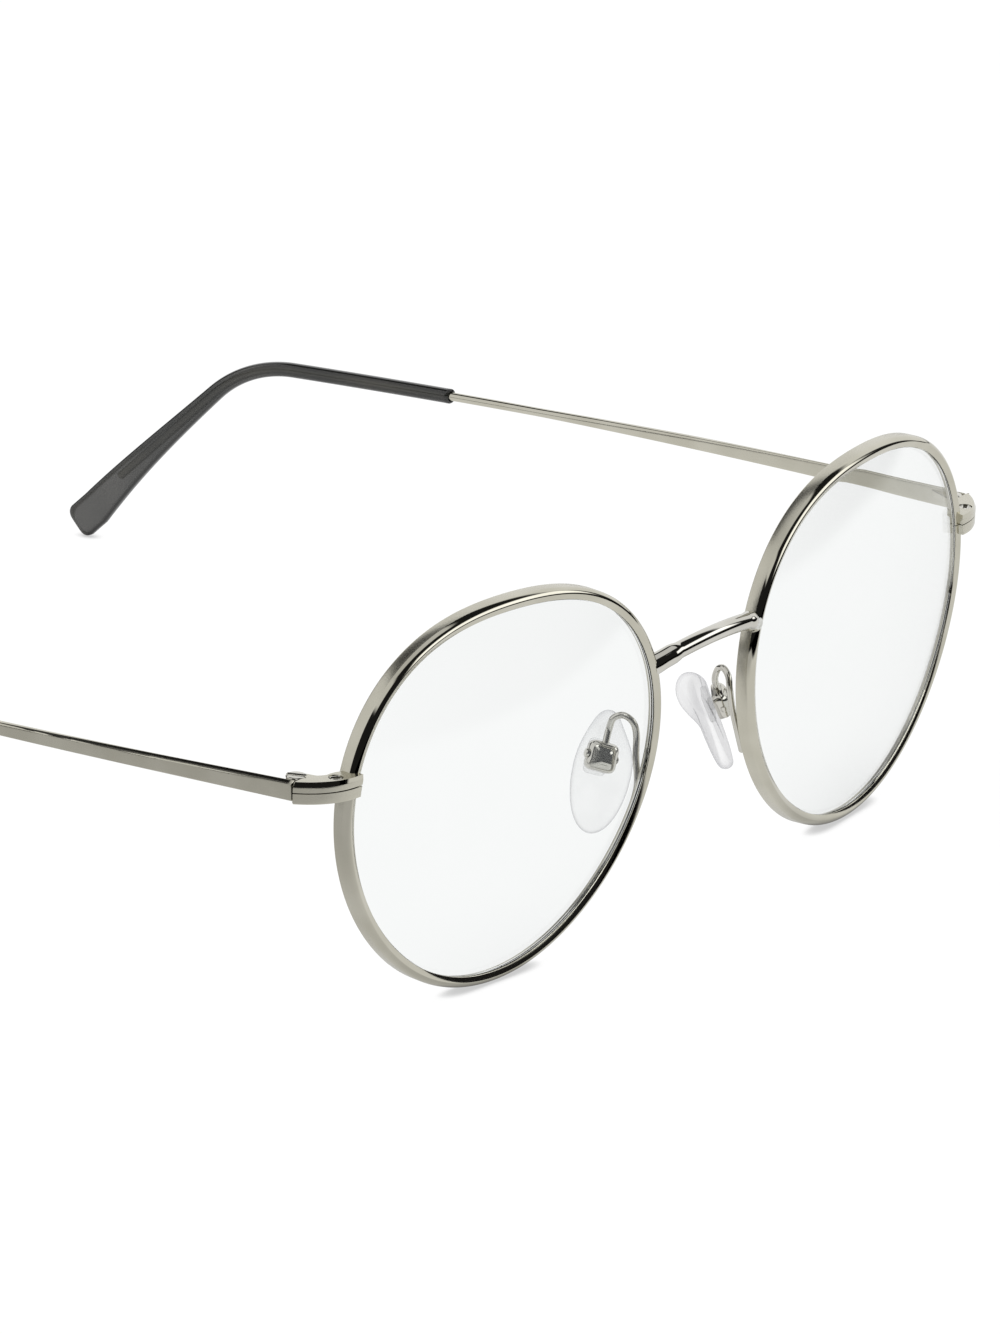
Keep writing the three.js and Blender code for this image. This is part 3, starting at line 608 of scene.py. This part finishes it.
def blade_inside(y):
    """X of the blade's inner side at a depth behind the hinge."""
    return blade_x - blade_thickness / 2 + (y - hinge_y) * np.tan(splay) + 0.05


leaf_back = hinge_y + leaf_length
leaf_plan = evened(np.concatenate((
    ((blade_inside(leaf_back), leaf_back), (blade_inside(leaf_back) - 0.25, leaf_back - 0.2)),
    arc((hinge_x, hinge_y), knuckle_radius, np.pi / 2, 2 * np.pi),
    ((blade_inside(hinge_y + knuckle_radius), hinge_y + knuckle_radius),),
)), 160)
leaf_low, leaf_high = block_level - knuckle_height / 2, block_level + knuckle_height / 2
leaf_levels = ((leaf_low, 0.08), (leaf_low + 0.08, 0), (leaf_high - 0.08, 0), (leaf_high, 0.08))
leaf_grid = slab(leaf_plan, leaf_levels)
fit_pair("temple_hinge_leaf", [(leaf_grid, 0.0, False)], nickel, "{side}_temple", 30)


# Temple tips: sleeves of smoky translucent acetate, heated and pushed over the core, round at the
# mouth and flattened below the ear bend into a paddle with rounded corners.
tip_start, tip_start_height, tip_end_height = 78.5, 1.9, 4.7
tip_thickness, tip_end_thickness, tip_drop, tip_corner = 1.75, 1.55, 1.1, 1.3
flare_end, flare_power, tip_cut = 141.0, 2.2, 0.3
acetate_greys = (0.026, 0.027, 0.024, 1), (0.044, 0.042, 0.035, 1)


def smoked_acetate():
    """Dark grey and see-through enough to show the core, a little browner and clearer in clouds, darker
    along the edges where it is seen through its width, with a polish that handling has dulled in places."""
    material, shader, place, face = finish_named("smoky_acetate")
    cloud = noise(place, 11).clear(0.35, 0.7)
    rub = noise(place, 1.6, 4)
    edge_on = place.node("LayerWeight", values={"Blend": 0.12}, output=1)
    clearness = face * (0.17 + 0.05 * cloud)
    feed(
        shader, Base_Color=face.blend((0.008, 0.008, 0.007, 1), cloud.blend(*acetate_greys)),
        Roughness=0.10 + 0.12 * rub, IOR=1.5, Coat_Weight=0.5, Alpha=0.97 - clearness + 0.5 * edge_on,
        Normal=rub.node("Bump", values={"Strength": 0.08, "Distance": 0.00003, "Height": rub}),
    )
    return material


tip_run = np.concatenate((
    (tip_start + 0.7, tip_start, tip_start + 0.01, tip_start + 0.05, tip_start + 0.15),
    np.linspace(tip_start + 0.6, temple_length - tip_corner, 120),
    temple_length - tip_corner * (1 - np.sin(np.linspace(0, np.pi / 2, 12)[1:])),
))
flare = np.clip((tip_run - bend_start) / (flare_end - bend_start), 0, 1) ** flare_power
ended = np.clip((tip_run - temple_length + tip_corner) / tip_corner, 0, 1)
closing = tip_corner * (1 - np.sqrt(1 - np.minimum(ended, 0.995) ** 2))
half_height = (tip_start_height + (tip_end_height - tip_start_height) * flare) / 2 - closing
half_thickness = (tip_thickness + (tip_end_thickness - tip_thickness) * flare) / 2
half_thickness = half_thickness * (1 - 0.75 * closing / tip_corner)
mouth = np.concatenate(((0.67, 0.72, 0.86, 0.95, 1.0), np.ones(len(tip_run) - 5)))
tip_grid = along_temple(
    tip_run, half_thickness * mouth, half_height * mouth, 2.3 + 1.6 * flare, tip_drop * flare ** 2,
    chamfer=tip_cut * flare * (1 - ended),
)
broad_side = 1 - smooth(0.55, 0.85, np.abs(np.sin(section_turn)))
fit_pair("temple_tip", [(tip_grid, broad_side, False)], smoked_acetate(), "{side}_temple", 50)


# Pad arms: steel wire soldered up the back of each rim beside the nose, looped over so that it can be
# bent to fit, and soldered into the top of the pad box.
arm_diameter, arm_point, loop_rise = 0.8, 0.012, 2.1
pad_place = np.array((lens_gap / 2 + 1.65, 4.6, -6.2))
pad_turn = turned("z", np.radians(40.4)) @ turned("y", np.radians(-17.4)) @ turned("x", np.radians(-22.1))
pivot = np.array((1.1, -2.35, 1.5))
box_width, box_height, box_depth = 3.6, 3.5, 2.1


def on_pad(points):
    """Points of the pad's own frame, X across it, Y out of its nose side and Z up it, put on the front."""
    return points @ pad_turn.T + pad_place


def strung(points, steps=24):
    """Catmull-Rom curve through points: each stretch is the cubic whose end slopes are half the step
    between the neighbours on either side."""
    p = np.concatenate((2 * points[:1] - points[1:2], points, 2 * points[-1:] - points[-2:-1]))
    t = np.linspace(0, 1, steps, endpoint=False)[None, :, None]
    a, b, c, d = (p[k:len(p) - 3 + k, None] for k in range(4))
    bends = 2 * b + (c - a) * t + (2 * a - 5 * b + 4 * c - d) * t ** 2 + (3 * b - a - 3 * c + d) * t ** 3
    return np.concatenate((bends.reshape(-1, 3) / 2, points[-1:]))


def wire(path, radius, beside, steps=20):
    """Round sections along a path, set square to it with the help of a direction beside it."""
    ahead = unit(np.gradient(path, axis=0))
    first = unit(np.cross(ahead, beside))
    second = np.cross(ahead, first)
    angle = np.linspace(0, 2 * np.pi, steps, endpoint=False)[:, None]
    ring = np.cos(angle) * first[:, None] + np.sin(angle) * second[:, None]
    return path[:, None] + np.broadcast_to(radius, len(path))[:, None, None] * ring


leg_levels = np.array((-9.0, -6.5, -3.6, -1.0))
leg_backs = rim_depth + np.array((0.2, 0.4, 1.1, 1.45))
leg_offsets = np.array((0.3, 0.1, -0.5, -0.7))
leg_angles = edge_angle(leg_levels, True)
leg_path = lens_plane(lens_edge(leg_angles) + leg_offsets, leg_angles, leg_backs)
box_top = on_pad(pivot + (0, 0, box_height / 2 - 0.1))
above_box = on_pad(pivot + (0, -0.1, box_height / 2 + 1.5))
loop_start, loop_end = leg_path[-1], above_box
across_loop = loop_end - loop_start
loop = np.array([
    loop_start + across_loop * (0.5 - 0.5 * np.cos(turn)) + (0, 0, loop_rise * np.sin(turn))
    for turn in np.pi * np.array((0.25, 0.5, 0.75))
])
arm_path = strung(np.concatenate((leg_path, loop, (above_box, box_top))))
arm_share = np.linspace(0, 1, len(arm_path))
arm_radius = arm_diameter / 2 * np.sqrt(np.clip(arm_share / arm_point, 0.15, 1))
fit_pair("pad_arm", [(wire(arm_path, arm_radius, (1, 0, 0)), 1.0, False)], steel, "front", 60)


# Pad boxes: small pressed steel housings, open towards the pad, with rounded corners and a bright
# finish. The pad screw crosses both cheeks.
tang_width, tang_height, tang_clear, box_open = 0.8, 1.5, 0.12, 0.15
box_corner, dome_depth = 0.95, 1.1


def rounded_ring(half_wide, half_high, corner, y):
    """Rounded rectangle across the pad at a depth, centred on the pad screw."""
    corners = np.array(((1, 1), (-1, 1), (-1, -1), (1, -1))) * (half_wide, half_high)
    flat = rounded(corners, corner, 8)
    return np.stack((flat[:, 0] + pivot[0], np.full(len(flat), y), flat[:, 1] + pivot[2]), -1)


box_back, box_front = pivot[1] - box_depth / 2, pivot[1] + box_depth / 2 - box_open
half_wide, half_high = box_width / 2, box_height / 2
slot_wide, slot_high = tang_width / 2 + tang_clear, tang_height / 2 + 2 * tang_clear
slot_back = pivot[1] - tang_height / 2 - tang_clear
dome_turn = np.linspace(0.06, np.pi / 2, 12)
box_grid = on_pad(np.array((
    *(
        rounded_ring(half_wide * share, half_high * share, box_corner * share, box_back + depth)
        for share, depth in zip(np.sin(dome_turn), dome_depth * (1 - np.cos(dome_turn)))
    ),
    rounded_ring(half_wide, half_high, box_corner, box_front - 0.15),
    rounded_ring(half_wide - 0.05, half_high - 0.05, 0.9, box_front - 0.04),
    rounded_ring(half_wide - 0.14, half_high - 0.14, 0.8, box_front),
    rounded_ring(slot_wide, slot_high, 0.1, box_front),
    rounded_ring(slot_wide, slot_high, 0.1, slot_back),
)))
fit_pair("pad_box", [(box_grid, 1.0, False)], steel, "front", 35)


# Pad screws: tiny steel screws across the box, riveted flush on one side and with a low round head
# on the other.
pin_radius, pin_head_radius, pin_head = 0.34, 0.55, 0.3
pin_end = half_wide + 0.06
pin_profile = np.array((
    (-half_wide - 0.12, 0.05), (-half_wide - 0.1, 0.3), (-half_wide - 0.02, pin_radius + 0.08),
    (-half_wide + 0.02, pin_radius), (half_wide - 0.02, pin_radius), (half_wide + 0.01, pin_head_radius),
    (pin_end + pin_head - 0.12, pin_head_radius), (pin_end + pin_head - 0.03, pin_head_radius - 0.08),
    (pin_end + pin_head, 0.2), (pin_end + pin_head, 0.03),
))
pin_spin = np.linspace(0, 2 * np.pi, 32, endpoint=False)
pin_grid = pivot + np.stack(np.broadcast_arrays(
    pin_profile[:, :1], pin_profile[:, 1:] * np.cos(pin_spin), pin_profile[:, 1:] * np.sin(pin_spin),
), -1)
fit_pair("pad_screw", [(on_pad(pin_grid), 1.0, False)], steel, "front", 35)


# Nose pads: soft clear silicone cushions, crowned towards the nose and moulded round the insert.
pad_width, pad_height, pad_thickness = 7.0, 14.6, 1.9
pad_twist, twist_axis, twist_from, twist_to = np.radians(34), 1.6, 1.2, 7.0
pad_crown, back_round, front_round = 0.2, 0.42, 0.38


def silicone():
    """Clear and slightly milky, with a skin that is a little uneven from handling."""
    material, shader, place, _ = finish_named("clear_silicone")
    skin = noise(place, 0.9, 3)
    milk = noise(place, 4).clear(0.3, 0.75)
    edge_on = place.node("LayerWeight", values={"Blend": 0.5}, output=1)
    feed(
        shader, Base_Color=milk.blend((0.36, 0.36, 0.41, 1), (0.46, 0.46, 0.51, 1)),
        Roughness=0.10 + 0.1 * skin, IOR=1.41, Alpha=0.03 + 0.04 * milk + 0.6 * edge_on * edge_on,
        Normal=skin.node("Bump", values={"Strength": 0.06, "Distance": 0.00004, "Height": skin}),
    )
    return material


pad_inside, pad_brim = np.linspace(0.04, 0.84, 10), np.linspace(0, np.pi / 2, 9)[1:]
pad_rise = np.concatenate((pad_inside, pad_inside[-1] + (1 - pad_inside[-1]) * np.sin(pad_brim)))
turned_in = np.concatenate((0 * pad_inside, 1 - np.cos(pad_brim)))
back_y = -0.5 + back_round * turned_in
front_y = 0.5 - pad_crown * pad_rise ** 2 - front_round * turned_in
pad_share = np.concatenate((pad_rise, pad_rise[::-1]))
pad_level = np.concatenate((back_y, front_y[::-1])) * pad_thickness
pad_angle = np.linspace(0, 2 * np.pi, 120, endpoint=False)[None]
pad_across = pad_width / 2 * pad_share[:, None] * np.cos(pad_angle)
pad_up = (pad_height / 2 - pad_width / 2 * (1 - pad_share[:, None])) * np.sin(pad_angle)
twist = -pad_twist * smooth(twist_from, twist_to, pad_up)
turned_across = twist_axis + (pad_across - twist_axis) * np.cos(twist) - pad_level[:, None] * np.sin(twist)
turned_level = (pad_across - twist_axis) * np.sin(twist) + pad_level[:, None] * np.cos(twist)
pad_grid = np.stack((turned_across, turned_level, pad_up), -1)
fit_pair("nose_pad", [(on_pad(pad_grid), 1.0, False)], silicone(), "{side}_pad", 60)


# Pad inserts: a clear hard plate inside each cushion with a tang that reaches back into the box.
insert_width, insert_height, insert_thickness = 2.6, 4.2, 0.7
insert_back = -pad_thickness / 2


def clear_plastic():
    """Hard clear plastic, hardly seen inside the silicone but for its edges and a few scratches."""
    material, shader, place, _ = finish_named("clear_insert")
    scratch = noise(place, 0.5, 4)
    edge_on = place.node("LayerWeight", values={"Blend": 0.4}, output=1)
    feed(
        shader, Base_Color=scratch.blend((0.60, 0.61, 0.62, 1), (0.70, 0.71, 0.72, 1)),
        Roughness=0.05 + 0.12 * scratch, IOR=1.49, Alpha=0.08 + 0.3 * edge_on,
    )
    return material


plate_grid = np.array((
    rounded_ring(insert_width / 2 - 0.1, insert_height / 2 - 0.1, 0.6, insert_back + 0.02),
    rounded_ring(insert_width / 2, insert_height / 2, 0.7, insert_back + 0.1),
    rounded_ring(insert_width / 2, insert_height / 2, 0.7, insert_back + insert_thickness - 0.1),
    rounded_ring(insert_width / 2 - 0.1, insert_height / 2 - 0.1, 0.6, insert_back + insert_thickness),
))
tang_grid = np.array((
    rounded_ring(tang_width / 2 - 0.05, 0.4, 0.2, pivot[1] - tang_height / 2 + 0.02),
    rounded_ring(tang_width / 2, tang_height / 2 - 0.1, 0.2, pivot[1] - tang_height / 2 + 0.25),
    rounded_ring(tang_width / 2, tang_height / 2, 0.2, pivot[1] - 0.1),
    rounded_ring(tang_width / 2, tang_height / 2, 0.2, insert_back + 0.3),
))
insert_shells = [(on_pad(plate_grid), 0.5, False), (on_pad(tang_grid), 0.5, False)]
fit_pair("pad_insert", insert_shells, clear_plastic(), "{side}_pad", 35)


# Table and light: a white table with a painted contact shadow, faint real shadows and a painted reflection
# for the metal to mirror, a large soft lamp overhead that only the table and the plastics answer to, and a
# dark room with white cards that the metal mirrors.
ray_kinds = "Is Camera Ray", "Is Transmission Ray", "Glossy Depth"
table_glow, glow_share, painted_shadow_depth = 1.05, 0.92, 0.4
painted_shadow_reach, painted_under_shade_reach = 0.0016, 0.02


def table_white():
    """White surface that shows its own white glow to the camera, with a painted contact shadow and a faint
    real shadow from its small lit share. The metal mirrors it as a painted reflection: a glow that fades
    away from the object and is painted darker under it, to its left and in front of it."""
    material = bpy.data.materials.new("white_table")
    material.use_nodes = True
    tree = material.node_tree
    tree.nodes.remove(tree.nodes["Principled BSDF"])
    blank = Tone(tree)
    camera_ray, passed, reflections = (blank.node("LightPath", output=kind) for kind in ray_kinds)
    mirrored = blank.math("MINIMUM", reflections, 1.0)
    place = blank.node("TexCoord", output=3)
    x, y = (place.node("SeparateXYZ", values={0: place}, output=k) for k in range(2))
    # Painted reflection: what the metal mirrors of the table is a glow, not lamp light, painted dimmer to
    # the left of the glasses, dark beyond a slanting line in front of them and further left, and fading far
    # away.
    left = 0 - x
    slanted = y + 0.4 * x.math("MAXIMUM", left - 0.05, 0.0)
    painted_reflection = (0.87 - 0.3 * left.clear(0.02, 0.10)) * slanted.clear(-0.195, -0.165)
    painted_reflection = painted_reflection * (1 - left.clear(0.2, 0.35)) * (1 - x.math("MAXIMUM", x, y).clear(1.2, 2.0))
    contact, under = (
        blank.node("AmbientOcclusion", {"samples": 16}, {"Distance": distance}, 1)
        for distance in (painted_shadow_reach, painted_under_shade_reach)
    )
    # Painted shade: the mirrored glow is darkened where ambient occlusion finds the glasses within a couple
    # of centimetres.
    painted_reflection = painted_reflection * (1 - 0.45 * (1 - under.clear(0.3, 1.0)))
    lit = blank.node("BsdfDiffuse", values={"Color": (0.9, 0.9, 0.9, 1)})
    # Painted contact shadow: the table's glow is darkened where ambient occlusion finds the glasses close
    # above it.
    shown = 1 - painted_shadow_depth * (1 - contact.clear(0.3, 0.9))
    own = blank.node("Emission", values={"Color": shown * (table_glow - mirrored * (table_glow - painted_reflection))})
    share = place.math("MINIMUM", camera_ray * glow_share + mirrored + passed, 1.0)
    mixed = blank.node("MixShader", values={0: share, 1: lit, 2: own})
    tree.links.new(mixed.socket, tree.nodes["Material Output"].inputs["Surface"])
    return material


table_mesh = bpy.data.meshes.new("table")
table_mesh.from_pydata([(-4, -4, 0), (4, -4, 0), (4, 4, 0), (-4, 4, 0)], [], [(0, 1, 2, 3)])
table_mesh.materials.append(table_white())
table = bpy.data.objects.new("table", table_mesh)
bpy.context.scene.collection.objects.link(table)

lamp_data = bpy.data.lights.new("overhead", "AREA")
lamp_data.shape, lamp_data.size, lamp_data.energy = "SQUARE", 1.6, 12.0
lamp = bpy.data.objects.new("overhead", lamp_data)
lamp.location = (-0.1, 0.1, 1.3)
lamp.visible_glossy = False
bpy.context.scene.collection.objects.link(lamp)

world = bpy.data.worlds.new("room")
world.use_nodes = True
bpy.context.scene.world = world
room = world.node_tree
blank = Tone(room)
heading = blank.node("TexCoord", output=0)


def card(turn, rise, half_wide, half_high, brightness):
    """Brightness of a soft-edged white card seen in a direction, from its turn about Z from the front, its
    rise and its half sizes, in degrees: a heading falls on it where its share along the card's width is
    less than the tangent of half the width times its share towards the card, and so for the height."""
    a, b = np.radians((turn, rise))
    axes = (
        (np.sin(a) * np.cos(b), -np.cos(a) * np.cos(b), np.sin(b)), (np.cos(a), np.sin(a), 0.0),
        (-np.sin(b) * np.sin(a), np.sin(b) * np.cos(a), np.cos(b)),
    )
    towards, aside, upwards = (
        heading.node("VectorMath", {"operation": "DOT_PRODUCT"}, {0: heading, 1: axis}, 1) for axis in axes
    )
    for shift, half in ((aside, half_wide), (upwards, half_high)):
        over = shift.math("ABSOLUTE", shift) - np.tan(np.radians(half)) * towards
        brightness = brightness * (1 - over.clear(-0.06, 0.06))
    return brightness


level = blank.math("ADD", 0.015)
for lit_card in (
    card(37, 23, 26, 11.5, 1.7), card(118, 23, 43, 25, 0.95), card(-137, 20, 31, 38, 0.85),
    card(-95, 59, 40, 12, 0.8), card(0, 90, 24, 24, 0.7), card(165, 42, 30, 6, 0.4),
):
    level = level.math("MAXIMUM", level, lit_card)
shown, passing, reflections = (blank.node("LightPath", output=kind) for kind in ray_kinds)
white = shown.math("MAXIMUM", shown, passing - reflections)
background = blank.node("Background", values={"Color": white + (1 - white) * level})
room.links.new(background.socket, room.nodes["World Output"].inputs["Surface"])


# Camera: a long lens low over the table on the wearer's right, as far away as the photograph's.
camera_heading, camera_height, camera_roll = np.radians((-54.083, 20.402, 2.665))
camera_distance, focal_pixels = 1098.7, 9373.9
image_size, front_pixel = (1000, 1334), (687.1, 705.5)
sensor_height = 36.0

back = np.array((
    np.sin(camera_heading) * np.cos(camera_height), -np.cos(camera_heading) * np.cos(camera_height),
    np.sin(camera_height),
))
level_right = unit(np.cross(-back, (0, 0, 1)))
level_up = np.cross(level_right, -back)
right = np.cos(camera_roll) * level_right + np.sin(camera_roll) * level_up
up = np.cos(camera_roll) * level_up - np.sin(camera_roll) * level_right
aside = (front_pixel[0] - image_size[0] / 2) / focal_pixels
below = (front_pixel[1] - image_size[1] / 2) / focal_pixels
camera_place = (back - right * aside + up * below) * camera_distance
camera_data = bpy.data.cameras.new("camera")
camera_data.sensor_width = sensor_height
camera_data.lens = focal_pixels / image_size[1] * sensor_height
camera_data.clip_end = 20
camera = bpy.data.objects.new("camera", camera_data)
axes = turned("x", front_lean) @ np.stack((right, up, back), -1)
camera.matrix_world = Matrix.Translation(standing(camera_place)) @ Matrix(axes.tolist()).to_4x4()
bpy.context.scene.collection.objects.link(camera)
bpy.context.scene.camera = camera
bpy.context.scene.view_settings.view_transform = "Standard"
